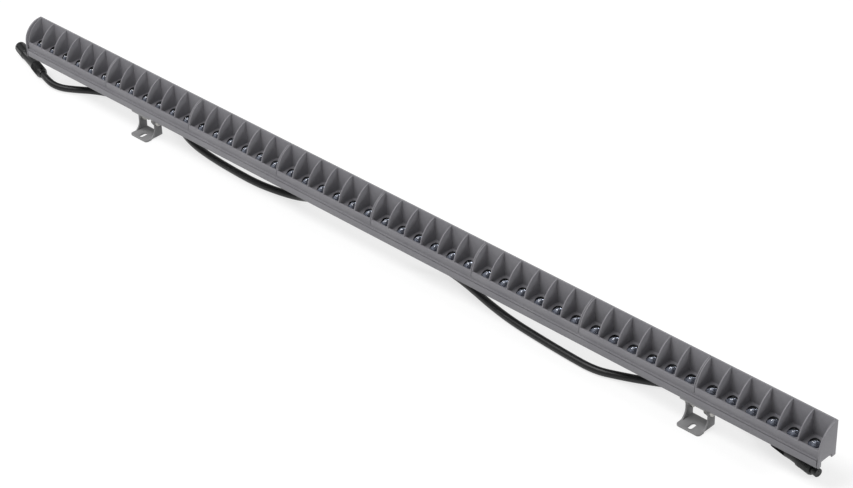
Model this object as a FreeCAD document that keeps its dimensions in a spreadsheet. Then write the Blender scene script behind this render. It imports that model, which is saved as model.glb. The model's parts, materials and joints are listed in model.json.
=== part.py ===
import FreeCAD, Part
import math
import operator
import os

import Sketcher
from FreeCAD import Placement, Rotation, Vector

# Outdoor wall washer light: a one-metre aluminium extrusion with a row of 48 lenses,
# shaded by eight visor modules, on two tilting U-feet, with two leads on the floor.
# Frame, in millimetres: X along the light, the front to -Y, Z up from the floor, and the
# origin at the bottom centre of the box round the light and its feet.

SIZES = {
    # the light as a whole
    "lamp_length": 1000.0,
    "lamp_depth": 23.0,
    "lamp_height": 36.2,
    "pivot_height": 16.0,
    "pivot_drop": 9.7,
    # extruded housing, heights above the bottom of its front skirt
    "skirt_wall": 1.8,
    "channel_height": 5.1,
    "base_thick": 1.6,
    "seam_height": 9.7,
    "upright_thick": 1.5,
    "upright_height": 11.7,
    "rail_lip_bottom": 1.5,
    "rail_lip_thick": 1.5,
    "front_lip_reach": 3.8,
    "back_lip_reach": 5.2,
    "drip_groove_height": 6.95,
    "drip_groove_width": 0.7,
    "drip_groove_deep": 0.5,
    # end caps and their gaskets
    "cap_thick": 1.5,
    "gasket_thick": 0.8,
    "spigot_length": 3.0,
    "spigot_fit": 0.15,
    # visor modules
    "module_count": 8,
    "cell_count": 6,
    "module_gap": 0.4,
    "fin_thick": 1.1,
    "visor_wall": 1.5,
    "visor_radius": 20.8,
    "visor_fit": 0.1,
    "floor_height": 11.9,
    # lens strips
    "dome_size": 10.8,
    "dome_height": 5.2,
    "lens_plate": 1.2,
    "lens_leg": 1.2,
    "lens_fit": 0.2,
    "lens_end_gap": 3.8,
    # boards and what is on them
    "pad_thick": 0.3,
    "board_width": 15.0,
    "board_thick": 1.6,
    "board_end_gap": 5.0,
    "board_middle_gap": 1.0,
    "wire_hole": 4.4,
    "chip_size": 3.5,
    "chip_height": 1.4,
    "driver_length": 6.0,
    "driver_width": 2.6,
    "driver_height": 1.5,
    "driver_offset": 4.6,
    "jumper_length": 8.0,
    # sheet metal of the feet and saddles
    "foot_left_inset": 178.8,
    "foot_right_inset": 126.5,
    "foot_sheet": 1.5,
    "foot_width": 24.4,
    "foot_length": 21.4,
    "foot_corner": 3.0,
    "foot_flare": 5.5,
    "foot_flare_rise": 9.5,
    "foot_bend": 1.6,
    "leg_width": 8.7,
    "slot_width": 4.5,
    "slot_length": 9.0,
    "slot_inset": 6.9,
    "saddle_sheet": 1.5,
    "saddle_width": 26.0,
    "saddle_joggle": 5.0,
    "ear_gap": 0.05,
    "ear_relief": 0.5,
    # screws and nuts
    "pivot_bore": 4.15,
    "screw_size": 4.0,
    "screw_head": 7.6,
    "screw_head_thick": 2.4,
    "screw_head_gap": 0.05,
    "clamp_bore": 4.3,
    "clamp_offset": -0.5,
    "clamp_end_gap": 0.3,
    "nut_across": 7.0,
    "nut_thick": 3.2,
    "nut_fit": 0.02,
    "slide_nut_length": 12.0,
    "slide_nut_flange": 1.9,
    "slide_nut_fit": 0.2,
    "slide_nut_boss": 11.8,
    # cable boots under the housing
    "boots_middle": -17.0,
    "boot_start": 14.0,
    "boot_length": 14.0,
    "boot_width": 10.0,
    "boot_drop": 11.3,
    "sleeve_length": 16.0,
    "sleeve_root": 9.6,
    "sleeve_tip": 8.6,
    "core_size": 1.3,
    "core_gap": 0.6,
    # leads and their connectors
    "lead_size": 7.2,
    "lead_floor_gap": 0.15,
    "connector_size": 11.6,
    "connector_axis_height": 6.15,
    "connector_rear": 8.8,
    "connector_taper": 4.0,
    "plug_body_length": 48.5,
    "plug_core_size": 8.6,
    "plug_core_length": 11.0,
    "plug_collar_size": 9.8,
    "plug_collar_place": 3.0,
    "plug_collar_thick": 1.6,
    "coupling_size": 12.2,
    "coupling_length": 20.0,
    "coupling_shoulder": 2.6,
    "coupling_bore": 10.4,
    "running_fit": 0.1,
    "socket_body_length": 50.0,
    "nose_size": 7.8,
    "nose_length": 6.0,
    "seal_size": 1.0,
    "pin_size": 1.2,
    "pin_length": 8.0,
    "pin_deep": 4.0,
    "contact_recess": 1.5,
    "pin_circle": 4.4,
    "pin_count": 2,
}

# A dome has flat sides here: upright ones to its shoulder, then slanted ones to its crown,
# which are shares of its height and size.
DOME_SIDES = 8
DOME_ROOT_SIZE = 0.98
DOME_SHOULDER = 0.4
DOME_CROWN_SIZE = 0.45

# Flat sides that stand in for round ones, and chords of a fin's curved edge.
SLEEVE_SIDES = 12
GRIP_SIDES = 16
LEAD_SIDES = 8
HEAD_SIDES = 16
PIN_SIDES = 8
FIN_CHORDS = 5

OPERATIONS = {"+": operator.add, "-": operator.sub, "*": operator.mul, "/": operator.truediv}


class Size:
    """A number that also knows the sheet formula it comes from."""

    def __init__(self, number, formula):
        self.number = number
        self.formula = formula

    def __add__(self, other):
        return combined(self, "+", other)

    def __radd__(self, other):
        return combined(other, "+", self)

    def __sub__(self, other):
        return combined(self, "-", other)

    def __rsub__(self, other):
        return combined(other, "-", self)

    def __mul__(self, other):
        return combined(self, "*", other)

    def __rmul__(self, other):
        return combined(other, "*", self)

    def __truediv__(self, other):
        return combined(self, "/", other)

    def __neg__(self):
        return combined(0, "-", self)


def as_size(thing):
    """Gives a plain number the form of a Size."""
    if isinstance(thing, Size):
        return thing
    return Size(float(thing), f"({thing:.6f})")


def combined(left, sign, right):
    """Joins two sizes with + - * or /."""
    left = as_size(left)
    right = as_size(right)
    number = OPERATIONS[sign](left.number, right.number)
    return Size(number, f"({left.formula} {sign} {right.formula})")


class Sheet:
    """The sizes by name, each tied to its cell in the document's spreadsheet."""

    def __init__(self, doc, sizes):
        sheet = doc.addObject("Spreadsheet::Sheet", "Sizes")
        for row, (alias, number) in enumerate(sizes.items(), start=1):
            sheet.set(f"A{row}", alias)
            sheet.set(f"B{row}", str(number))
            sheet.setAlias(f"B{row}", alias)
            setattr(self, alias, Size(number, "Sizes." + alias))


doc = FreeCAD.newDocument("wall_washer")
s = Sheet(doc, SIZES)
doc.recompute()
nodes = []

# Places worked out from the sizes above.
lamp_y = (s.foot_length - s.leg_width / 2 - s.lamp_depth / 2) / 2
front = -s.lamp_depth / 2
back = s.lamp_depth / 2
skirt_z = s.pivot_height + s.pivot_drop
channel_z = skirt_z + s.channel_height
base_z = channel_z + s.base_thick
seam_z = skirt_z + s.seam_height
floor_z = skirt_z + s.floor_height
top_z = skirt_z + s.lamp_height
upright_z = skirt_z + s.upright_height
upright_outer = back - s.visor_wall - s.visor_fit
upright_inner = upright_outer - s.upright_thick
lip_z = skirt_z + s.rail_lip_bottom
lip_top_z = lip_z + s.rail_lip_thick
body_length = s.lamp_length - 2 * s.cap_thick
extrusion_length = body_length - 2 * s.gasket_thick
module_pitch = body_length / s.module_count
module_length = module_pitch - s.module_gap
cell_length = (module_length - s.fin_thick * (s.cell_count + 1)) / s.cell_count
cell_pitch = cell_length + s.fin_thick
first_cell = s.module_gap / 2 + s.fin_thick + cell_length / 2
board_z = base_z + s.pad_thick
board_top_z = board_z + s.board_thick
board_length = (extrusion_length - s.board_middle_gap) / 2 - s.board_end_gap
lens_top_z = upright_z
inner_leg = s.foot_width / 2 - s.foot_sheet
ear_outer = inner_leg - s.ear_gap
ear_inner = ear_outer - s.saddle_sheet
lead_z = s.lead_size / 2 + s.lead_floor_gap
boot_exit = s.boot_start + s.boot_length + s.sleeve_length
boot_axis_z = channel_z - s.boot_drop + s.boot_width / 2
foot_left_x = s.foot_left_inset - s.lamp_length / 2
foot_right_x = s.lamp_length / 2 - s.foot_right_inset


# Helpers for sketches and features

def new_body(label, alone=True):
    """Starts a body, which is a node of its own or one of a group."""
    body = doc.addObject("PartDesign::Body", label)
    body.Label = label
    if alone:
        nodes.append(body)
    return body


def group(label, bodies):
    """Makes one node of like pieces, which stay separate solids."""
    thing = doc.addObject("Part::Compound", label)
    thing.Links = bodies
    thing.Label = label
    nodes.append(thing)


def place(thing, x, y, z, yaw=0.0):
    """Puts a sub-part in the light's frame, with its base tied to the sheet."""
    x, y, z = as_size(x), as_size(y), as_size(z)
    turn = Rotation(Vector(0, 0, 1), yaw)
    thing.Placement = Placement(Vector(x.number, y.number, z.number), turn)
    thing.setExpression("Placement.Base.x", x.formula)
    thing.setExpression("Placement.Base.y", y.formula)
    thing.setExpression("Placement.Base.z", z.formula)
    return thing


def origin_feature(body, role):
    """Finds an origin plane or axis of a body."""
    for feature in body.Origin.OriginFeatures:
        if feature.Role == role:
            return feature
    raise ValueError(role)


def new_sketch(body, name, plane, offset=0):
    """Adds a sketch to one of the body's own planes, moved along the plane's normal."""
    offset = as_size(offset)
    sketch = body.newObject("Sketcher::SketchObject", name)
    sketch.AttachmentSupport = [(origin_feature(body, plane), "")]
    sketch.MapMode = "FlatFace"
    sketch.AttachmentOffset = Placement(Vector(0, 0, offset.number), Rotation())
    sketch.setExpression("AttachmentOffset.Base.z", offset.formula)
    return sketch


def add_held(sketch, rules):
    """Adds constraints given as (kind, where..., size) and ties each to its formula."""
    constraints = []
    for rule in rules:
        constraints.append(Sketcher.Constraint(*rule[:-1], rule[-1].number))
    first = sketch.ConstraintCount
    sketch.addConstraint(constraints)
    for row, rule in enumerate(rules, start=first):
        sketch.setExpression(f"Constraints[{row}]", rule[-1].formula)


def arc_between(start, end, radius):
    """An arc from start to end; a negative radius turns clockwise."""
    chord = end - start
    left = Vector(-chord.y, chord.x, 0).normalize()
    height = math.sqrt(max(0.0, radius * radius - chord.Length ** 2 / 4))
    centre = (start + end) * 0.5 + left * math.copysign(height, radius)
    circle = Part.Circle(centre, Vector(0, 0, 1), abs(radius))
    if radius < 0:
        start, end = end, start
    return Part.ArcOfCircle(circle, circle.parameter(start), circle.parameter(end))


def outline(sketch, corners):
    """Draws a closed outline through corners (across, up) or (across, up, radius), where
    the radius makes the edge that leaves the corner an arc, clockwise when negative."""
    corners = [tuple(as_size(value) for value in corner) for corner in corners]
    points = [Vector(corner[0].number, corner[1].number, 0) for corner in corners]
    base = sketch.GeometryCount
    count = len(corners)
    starts = []
    ends = []
    held = []
    for index, corner in enumerate(corners):
        following = points[(index + 1) % count]
        turns_back = False
        if len(corner) == 3:
            radius = corner[2].number
            sketch.addGeometry(arc_between(points[index], following, radius), False)
            size = corner[2] if radius > 0 else -corner[2]
            held.append(("Radius", base + index, size))
            turns_back = radius < 0
        else:
            sketch.addGeometry(Part.LineSegment(points[index], following), False)
        starts.append(2 if turns_back else 1)
        ends.append(1 if turns_back else 2)
    joins = []
    for index, corner in enumerate(corners):
        other = (index + 1) % count
        joins.append(
            Sketcher.Constraint(
                "Coincident", base + index, ends[index], base + other, starts[other]
            )
        )
        held.append(("DistanceX", -1, 1, base + index, starts[index], corner[0]))
        held.append(("DistanceY", -1, 1, base + index, starts[index], corner[1]))
    sketch.addConstraint(joins)
    add_held(sketch, held)


def rectangle(sketch, left, bottom, right, top):
    """Draws a closed rectangle."""
    outline(sketch, [(left, bottom), (right, bottom), (right, top), (left, top)])


def round_hole(sketch, across, up, diameter):
    """Draws a circle."""
    across, up, diameter = as_size(across), as_size(up), as_size(diameter)
    row = sketch.GeometryCount
    centre = Vector(across.number, up.number, 0)
    sketch.addGeometry(Part.Circle(centre, Vector(0, 0, 1), diameter.number / 2), False)
    held = [
        ("Diameter", row, diameter),
        ("DistanceX", -1, 1, row, 3, across),
        ("DistanceY", -1, 1, row, 3, up),
    ]
    add_held(sketch, held)


def polygon(sketch, radius, sides, across=0, up=0):
    """Draws a regular polygon."""
    corners = []
    for number in range(sides):
        angle = 2 * math.pi * (number + 0.5) / sides
        corners.append((across + radius * math.cos(angle), up + radius * math.sin(angle)))
    outline(sketch, corners)


def extrude(body, kind, name, sketch, length, symmetric=False, reverse=False):
    """Adds a Pad or a Pocket of the sketch."""
    feature = body.newObject("PartDesign::" + kind, name)
    feature.Profile = sketch
    feature.SideType = "Symmetric" if symmetric else "One side"
    feature.Reversed = reverse
    feature.Length = as_size(length).number
    feature.setExpression("Length", as_size(length).formula)
    return feature


def ruled_loft(body, name, rings):
    """Adds the flat-sided form that runs from ring to ring."""
    feature = body.newObject("PartDesign::AdditiveLoft", name)
    feature.Profile = rings[0]
    feature.Sections = rings[1:]
    feature.Ruled = True
    return feature


def repeat(body, name, originals, role, pitch, count):
    """Repeats features along an axis of the body."""
    feature = body.newObject("PartDesign::LinearPattern", name)
    feature.Originals = originals
    feature.Direction = (origin_feature(body, role), [""])
    feature.Mode = "Spacing"
    feature.Offset = as_size(pitch).number
    feature.setExpression("Offset", as_size(pitch).formula)
    feature.Occurrences = int(as_size(count).number)
    feature.setExpression("Occurrences", as_size(count).formula)
    body.Tip = feature
    return feature


def mirror(body, name, originals, role):
    """Mirrors features in a plane of the body."""
    feature = body.newObject("PartDesign::Mirrored", name)
    feature.Originals = originals
    feature.MirrorPlane = (origin_feature(body, role), [""])
    body.Tip = feature
    return feature


# Housing

def housing_extrusion():
    """The extrusion: front skirt, base, two uprights and the rail under the base."""
    body = new_body("housing_extrusion")
    sketch = new_sketch(body, "section", "YZ_Plane")
    groove_z = skirt_z + s.drip_groove_height
    outline(sketch, [
        (front, skirt_z),
        (front + s.skirt_wall, skirt_z),
        (front + s.skirt_wall, lip_z),
        (front + s.front_lip_reach, lip_z),
        (front + s.front_lip_reach, lip_top_z),
        (front + s.skirt_wall, lip_top_z),
        (front + s.skirt_wall, channel_z),
        (back - s.skirt_wall, channel_z),
        (back - s.skirt_wall, lip_top_z),
        (back - s.back_lip_reach, lip_top_z),
        (back - s.back_lip_reach, lip_z),
        (back, lip_z),
        (back, seam_z),
        (upright_outer, seam_z),
        (upright_outer, upright_z),
        (upright_inner, upright_z),
        (upright_inner, base_z),
        (-upright_inner, base_z),
        (-upright_inner, upright_z),
        (-upright_outer, upright_z),
        (-upright_outer, seam_z),
        (front, seam_z),
        (front, groove_z + s.drip_groove_width),
        (front + s.drip_groove_deep, groove_z + s.drip_groove_width),
        (front + s.drip_groove_deep, groove_z),
        (front, groove_z),
    ])
    extrude(body, "Pad", "run", sketch, extrusion_length, symmetric=True)
    wires = new_sketch(body, "wire_holes", "XY_Plane", base_z)
    for side in (-1, 1):
        boot_middle = side * (s.boot_start + s.boot_length / 2)
        round_hole(wires, s.boots_middle + boot_middle, 0, s.wire_hole)
    extrude(body, "Pocket", "wire_bores", wires, s.base_thick)
    place(body, 0, lamp_y, 0)


def end_cap(label, side):
    """An end cap with the outline of the light from the side, and a spigot inside it."""
    body = new_body(label)
    sketch = new_sketch(body, "profile", "YZ_Plane", side * body_length / 2)
    outline(sketch, [
        (front, skirt_z),
        (front + s.front_lip_reach, skirt_z),
        (front + s.front_lip_reach, channel_z),
        (back - s.back_lip_reach, channel_z),
        (back - s.back_lip_reach, lip_z),
        (back, lip_z),
        (back, top_z),
        (front + s.visor_radius, top_z, s.visor_radius),
        (front, top_z - s.visor_radius),
    ])
    extrude(body, "Pad", "plate", sketch, s.cap_thick, reverse=(side < 0))
    inner = new_sketch(body, "spigot_outline", "YZ_Plane", side * body_length / 2)
    reach = upright_inner - s.spigot_fit
    rectangle(inner, -reach, base_z + s.spigot_fit, reach, floor_z - s.spigot_fit)
    extrude(body, "Pad", "spigot", inner, s.spigot_length, reverse=(side > 0))
    place(body, 0, lamp_y, 0)


def cap_gasket(label, side):
    """The flat U-shaped gasket between an end cap and the end of the extrusion."""
    body = new_body(label)
    sketch = new_sketch(body, "outline", "YZ_Plane", side * extrusion_length / 2)
    outline(sketch, [
        (-upright_outer, channel_z),
        (upright_outer, channel_z),
        (upright_outer, upright_z),
        (upright_inner, upright_z),
        (upright_inner, base_z),
        (-upright_inner, base_z),
        (-upright_inner, upright_z),
        (-upright_outer, upright_z),
    ])
    extrude(body, "Pad", "sheet", sketch, s.gasket_thick, reverse=(side < 0))
    place(body, 0, lamp_y, 0)


# Visor modules and lenses, one pair for each group of cells

def module_start(number):
    """X of the first cell's centre in a module."""
    return number * module_pitch - body_length / 2 + first_cell


def fin_curve():
    """The ends of the chords down the curved front edge of a fin."""
    corners = []
    for step in range(FIN_CHORDS + 1):
        angle = math.pi / 2 * (1 + step / FIN_CHORDS)
        across = front + s.visor_radius * (1 + math.cos(angle))
        corners.append((across, top_z - s.visor_radius * (1 - math.sin(angle))))
    return corners


def visor_module(number):
    """A visor module: back wall, front lip and fins round cells that are open below."""
    body = new_body(f"visor_module_{number + 1}", alone=False)
    lip = top_z - s.visor_radius
    start = -cell_length / 2 - s.fin_thick
    profile = new_sketch(body, "profile", "YZ_Plane", start)
    outline(profile, [
        (front, seam_z),
        (front + s.visor_wall, seam_z),
        (front + s.visor_wall, floor_z),
        (back - s.visor_wall, floor_z),
        (back - s.visor_wall, seam_z),
        (back, seam_z),
        (back, top_z),
        *fin_curve(),
    ])
    extrude(body, "Pad", "shell", profile, module_length)
    cell = new_sketch(body, "cell_side", "YZ_Plane", -cell_length / 2)
    outline(cell, [
        (front - s.visor_wall, lip),
        (front + s.visor_wall, lip),
        (front + s.visor_wall, floor_z - s.visor_wall),
        (back - s.visor_wall, floor_z - s.visor_wall),
        (back - s.visor_wall, top_z + s.visor_wall),
        (front - s.visor_wall, top_z + s.visor_wall),
    ])
    cut = extrude(body, "Pocket", "cell", cell, cell_length, reverse=True)
    repeat(body, "cells", [cut], "X_Axis", cell_pitch, s.cell_count)
    return place(body, module_start(number), lamp_y, 0)


def lens_strip(number):
    """A clear strip that stands on the board, with a dome over each LED."""
    body = new_body(f"lens_strip_{number + 1}", alone=False)
    outer = upright_inner - s.lens_fit
    under = lens_top_z - s.lens_plate
    length = module_length - 2 * s.lens_end_gap
    start = -cell_length / 2 - s.fin_thick + s.lens_end_gap
    profile = new_sketch(body, "profile", "YZ_Plane", start)
    leg_bottom = board_top_z
    inner = s.board_width / 2 - s.lens_leg
    outline(profile, [
        (-outer, lens_top_z),
        (-outer, under),
        (-s.board_width / 2, under),
        (-s.board_width / 2, leg_bottom),
        (-inner, leg_bottom),
        (-inner, under),
        (inner, under),
        (inner, leg_bottom),
        (s.board_width / 2, leg_bottom),
        (s.board_width / 2, under),
        (outer, under),
        (outer, lens_top_z),
    ])
    extrude(body, "Pad", "strip", profile, length)
    root = new_sketch(body, "dome_root", "XY_Plane", lens_top_z)
    polygon(root, s.dome_size * DOME_ROOT_SIZE / 2, DOME_SIDES)
    shoulder = s.dome_height * DOME_SHOULDER
    upright = extrude(body, "Pad", "dome_sides", root, shoulder)
    rings = []
    for name, height, share in (
        ("shoulder", shoulder, DOME_ROOT_SIZE),
        ("crown", s.dome_height, DOME_CROWN_SIZE),
    ):
        ring = new_sketch(body, "dome_" + name, "XY_Plane", lens_top_z + height)
        polygon(ring, s.dome_size * share / 2, DOME_SIDES)
        rings.append(ring)
    slanted = ruled_loft(body, "dome_top", rings)
    repeat(body, "domes", [upright, slanted], "X_Axis", cell_pitch, s.cell_count)
    return place(body, module_start(number), lamp_y, 0)


# Boards

def board_hole(sketch, middle):
    """The square hole through which the wires of one boot reach the board's face."""
    half = s.wire_hole / 2
    rectangle(sketch, middle - half, -half, middle + half, half)


def flat_strip(label, side, bottom, thick, width):
    """A long flat strip in one half of the housing, with the hole for the wires."""
    body = new_body(label)
    sketch = new_sketch(body, "outline", "XY_Plane", bottom)
    near_end = side * s.board_middle_gap / 2
    far_end = near_end + side * board_length
    if side < 0:
        near_end, far_end = far_end, near_end
    rectangle(sketch, near_end, -width / 2, far_end, width / 2)
    for boot_side in (-1, 1):
        middle = s.boots_middle + boot_side * (s.boot_start + s.boot_length / 2)
        if near_end.number < middle.number < far_end.number:
            board_hole(sketch, middle)
    extrude(body, "Pad", "strip", sketch, thick)
    place(body, 0, lamp_y, 0)


def led_chips(label, first_module):
    """The LED packages of one half, one under each dome."""
    body = new_body(label)
    half = s.chip_size / 2
    for module in range(int(s.module_count.number) // 2):
        start = module * module_pitch
        sketch = new_sketch(body, f"chip_outline_{module + 1}", "XY_Plane", board_top_z)
        rectangle(sketch, start - half, -half, start + half, half)
        chip = extrude(body, "Pad", f"chip_{module + 1}", sketch, s.chip_height)
        repeat(body, f"chips_{module + 1}", [chip], "X_Axis", cell_pitch, s.cell_count)
    place(body, module_start(first_module), lamp_y, 0)


def driver_chips(label, first_module):
    """The constant-current drivers of one half, one for each module of LEDs."""
    body = new_body(label)
    sketch = new_sketch(body, "driver_outline", "XY_Plane", board_top_z)
    middle = cell_pitch / 2
    half = s.driver_length / 2
    low = s.driver_offset - s.driver_width / 2
    rectangle(sketch, middle - half, low, middle + half, low + s.driver_width)
    chip = extrude(body, "Pad", "driver", sketch, s.driver_height)
    repeat(body, "drivers", [chip], "X_Axis", module_pitch, s.module_count / 2)
    place(body, module_start(first_module), lamp_y, 0)


def board_jumper():
    """The link that joins the two boards."""
    body = new_body("board_jumper")
    sketch = new_sketch(body, "outline", "XY_Plane", board_top_z)
    half = s.jumper_length / 2
    low = s.driver_offset - s.driver_width / 2
    rectangle(sketch, -half, low, half, low + s.driver_width)
    extrude(body, "Pad", "link", sketch, s.driver_height)
    place(body, 0, lamp_y, 0)


# Feet and saddles

def foot(label, x):
    """A U-shaped foot: slotted plate and two legs with rounded tops."""
    body = new_body(label)
    half = s.foot_width / 2
    rear = s.leg_width / 2
    nose = rear - s.foot_length
    flare = s.foot_flare
    rise = s.foot_flare_rise
    flare_radius = (rise * rise + flare * flare) / (2 * flare)
    bend = s.foot_bend
    leg_front = -rear - flare
    plate = new_sketch(body, "plate_outline", "XY_Plane")
    outline(plate, [
        (half, leg_front),
        (-half, leg_front),
        (-half, nose + s.foot_corner, s.foot_corner),
        (-half + s.foot_corner, nose),
        (half - s.foot_corner, nose, s.foot_corner),
        (half, nose + s.foot_corner),
    ])
    extrude(body, "Pad", "plate", plate, s.foot_sheet)
    channel = new_sketch(body, "channel_outline", "XZ_Plane", -rear)
    top = s.pivot_height + rear
    outline(channel, [
        (-half + bend, 0),
        (half - bend, 0, bend),
        (half, bend),
        (half, top),
        (inner_leg, top),
        (inner_leg, s.foot_sheet),
        (-inner_leg, s.foot_sheet),
        (-inner_leg, top),
        (-half, top),
        (-half, bend, bend),
    ])
    extrude(body, "Pad", "channel", channel, rear - leg_front)
    leg = new_sketch(body, "leg_outline", "YZ_Plane")
    outline(leg, [
        (rear, s.pivot_height, rear),
        (0, top, rear),
        (-rear, s.pivot_height),
        (-rear, s.foot_sheet + rise, -flare_radius),
        (leg_front, s.foot_sheet),
        (leg_front - flare, s.foot_sheet),
        (leg_front - flare, top + flare),
        (rear + flare, top + flare),
        (rear + flare, s.pivot_height),
    ])
    extrude(body, "Pocket", "leg_cut", leg, 2 * s.foot_width, symmetric=True)
    bore = new_sketch(body, "pivot_outline", "YZ_Plane")
    round_hole(bore, 0, s.pivot_height, s.pivot_bore)
    extrude(body, "Pocket", "pivot_holes", bore, 2 * s.foot_width, symmetric=True)
    slot = new_sketch(body, "slot_outline", "XY_Plane", s.foot_sheet)
    side = s.slot_width / 2
    reach = s.slot_length / 2 - side
    middle = nose + s.slot_inset
    outline(slot, [
        (side, middle - reach),
        (side, middle + reach, side),
        (0, middle + reach + side, side),
        (-side, middle + reach),
        (-side, middle - reach, side),
        (0, middle - reach - side, side),
    ])
    extrude(body, "Pocket", "slot", slot, s.foot_sheet)
    place(body, x, lamp_y, 0)


def saddle(label, x):
    """The sheet that is clamped to the rail, with an ear bent down on each side."""
    body = new_body(label)
    side = new_sketch(body, "side_outline", "YZ_Plane")
    low = skirt_z - s.saddle_sheet
    rise = s.rail_lip_bottom
    outline(side, [
        (front, low),
        (s.saddle_joggle, low),
        (s.saddle_joggle + rise, low + rise),
        (back, low + rise),
        (back, skirt_z + rise),
        (s.saddle_joggle + rise, skirt_z + rise),
        (s.saddle_joggle, skirt_z),
        (front, skirt_z),
    ])
    extrude(body, "Pad", "plate", side, s.saddle_width, symmetric=True)
    half = s.leg_width / 2
    notch = new_sketch(body, "notch_outline", "XY_Plane", skirt_z)
    notch_half = half + s.ear_relief
    rectangle(notch, ear_outer, -notch_half, s.saddle_width, notch_half)
    rectangle(notch, -s.saddle_width, -notch_half, -ear_outer, notch_half)
    extrude(body, "Pocket", "notches", notch, s.saddle_sheet)
    ear = new_sketch(body, "ear_outline", "YZ_Plane", ear_inner)
    slant = half * math.tan(math.pi / 8)
    outline(ear, [
        (half, s.pivot_height - slant),
        (half, skirt_z),
        (-half, skirt_z),
        (-half, s.pivot_height - slant),
        (-slant, s.pivot_height - half),
        (slant, s.pivot_height - half),
    ])
    ear_pad = extrude(body, "Pad", "ear", ear, s.saddle_sheet)
    mirror(body, "ears", [ear_pad], "YZ_Plane")
    bore = new_sketch(body, "pivot_outline", "YZ_Plane")
    round_hole(bore, 0, s.pivot_height, s.screw_size + 2 * s.nut_fit)
    extrude(body, "Pocket", "pivot_holes", bore, 2 * s.saddle_width, symmetric=True)
    hole = new_sketch(body, "clamp_outline", "XY_Plane", skirt_z)
    round_hole(hole, 0, s.clamp_offset, s.clamp_bore)
    extrude(body, "Pocket", "clamp_hole", hole, s.saddle_sheet)
    place(body, x, lamp_y, 0)


def slide_nut(name, x):
    """The T-nut that slides in the rail and takes the clamp screw."""
    body = new_body("slide_nut_" + name, alone=False)
    profile = new_sketch(body, "tee_outline", "YZ_Plane")
    flange = back - s.skirt_wall - s.slide_nut_fit
    boss = s.slide_nut_boss / 2
    boss_z = lip_z + s.slide_nut_fit
    top = lip_top_z + s.slide_nut_flange
    outline(profile, [
        (-boss, boss_z),
        (boss, boss_z),
        (boss, lip_top_z),
        (flange, lip_top_z),
        (flange, top),
        (-flange, top),
        (-flange, lip_top_z),
        (-boss, lip_top_z),
    ])
    extrude(body, "Pad", "tee", profile, s.slide_nut_length, symmetric=True)
    thread = new_sketch(body, "thread_outline", "XY_Plane", top)
    round_hole(thread, 0, s.clamp_offset, s.screw_size + 2 * s.nut_fit)
    extrude(body, "Pocket", "thread", thread, top - boss_z)
    return place(body, x, lamp_y, 0)


def clamp_screw(name, x):
    """The screw that pulls the saddle and the slide nut together."""
    body = new_body("clamp_screw_" + name, alone=False)
    low = skirt_z - s.saddle_sheet
    head = new_sketch(body, "head_outline", "XY_Plane")
    polygon(head, s.screw_head / 2, HEAD_SIDES)
    extrude(body, "Pad", "head", head, s.screw_head_thick, reverse=True)
    shank = new_sketch(body, "shank_outline", "XY_Plane")
    round_hole(shank, 0, 0, s.screw_size)
    extrude(body, "Pad", "shank", shank, channel_z - s.clamp_end_gap - low)
    return place(body, x, lamp_y + s.clamp_offset, low)


def pivot_screws(name, x):
    """The two screws on which a foot tilts, one from each side."""
    body = new_body("pivot_screws_" + name, alone=False)
    start = s.foot_width / 2 + s.screw_head_gap
    tip = ear_inner - s.nut_thick - s.nut_fit
    head_outline = new_sketch(body, "head_outline", "YZ_Plane", start)
    polygon(head_outline, s.screw_head / 2, HEAD_SIDES)
    head = extrude(body, "Pad", "head", head_outline, s.screw_head_thick)
    shank_outline = new_sketch(body, "shank_outline", "YZ_Plane", start)
    round_hole(shank_outline, 0, 0, s.screw_size)
    shank = extrude(body, "Pad", "shank", shank_outline, start - tip, reverse=True)
    mirror(body, "screws", [head, shank], "YZ_Plane")
    return place(body, x, lamp_y, s.pivot_height)


def pivot_nuts(name, x):
    """The two nuts inside the ears of a saddle."""
    body = new_body("pivot_nuts_" + name, alone=False)
    sketch = new_sketch(body, "hexagon", "YZ_Plane", ear_inner - s.nut_thick)
    flat = s.nut_across / 2
    corner = s.nut_across / math.sqrt(3)
    outline(sketch, [
        (flat, -corner / 2),
        (flat, corner / 2),
        (0, corner),
        (-flat, corner / 2),
        (-flat, -corner / 2),
        (0, -corner),
    ])
    round_hole(sketch, 0, 0, s.screw_size + 2 * s.nut_fit)
    nut = extrude(body, "Pad", "nut", sketch, s.nut_thick)
    mirror(body, "nuts", [nut], "YZ_Plane")
    return place(body, x, lamp_y, s.pivot_height)


# Boots, wires and leads

def cable_boot(label, side):
    """A moulded elbow under the housing, with a tapered sleeve along the light."""
    body = new_body(label)
    near_x = s.boot_start
    far_x = s.boot_start + s.boot_length
    half = s.boot_width / 2
    block = new_sketch(body, "block_outline", "XY_Plane", channel_z)
    if side > 0:
        rectangle(block, near_x, -half, far_x, half)
    else:
        rectangle(block, -far_x, -half, -near_x, half)
    extrude(body, "Pad", "block", block, s.boot_drop, reverse=True)
    rings = []
    for name, x, size in (
        ("root", near_x + half, s.sleeve_root),
        ("tip", far_x + s.sleeve_length, s.sleeve_tip),
    ):
        ring = new_sketch(body, "sleeve_" + name, "YZ_Plane", side * x)
        polygon(ring, size / 2, SLEEVE_SIDES, up=boot_axis_z)
        rings.append(ring)
    ruled_loft(body, "sleeve", rings)
    place(body, s.boots_middle, lamp_y, 0)


def wire_cores(name, side):
    """The cores that rise from a boot to the board."""
    body = new_body("wire_cores_" + name, alone=False)
    sketch = new_sketch(body, "core_outlines", "XY_Plane", channel_z)
    middle = side * (s.boot_start + s.boot_length / 2)
    half = s.core_size / 2
    for offset in (-s.core_gap / 2 - half, s.core_gap / 2 + half):
        rectangle(sketch, middle + offset - half, -half, middle + offset + half, half)
    extrude(body, "Pad", "cores", sketch, board_top_z - channel_z)
    return place(body, s.boots_middle, lamp_y, 0)


def unit(start, end):
    """Direction from one point to another."""
    return (end - start).normalize()


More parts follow.
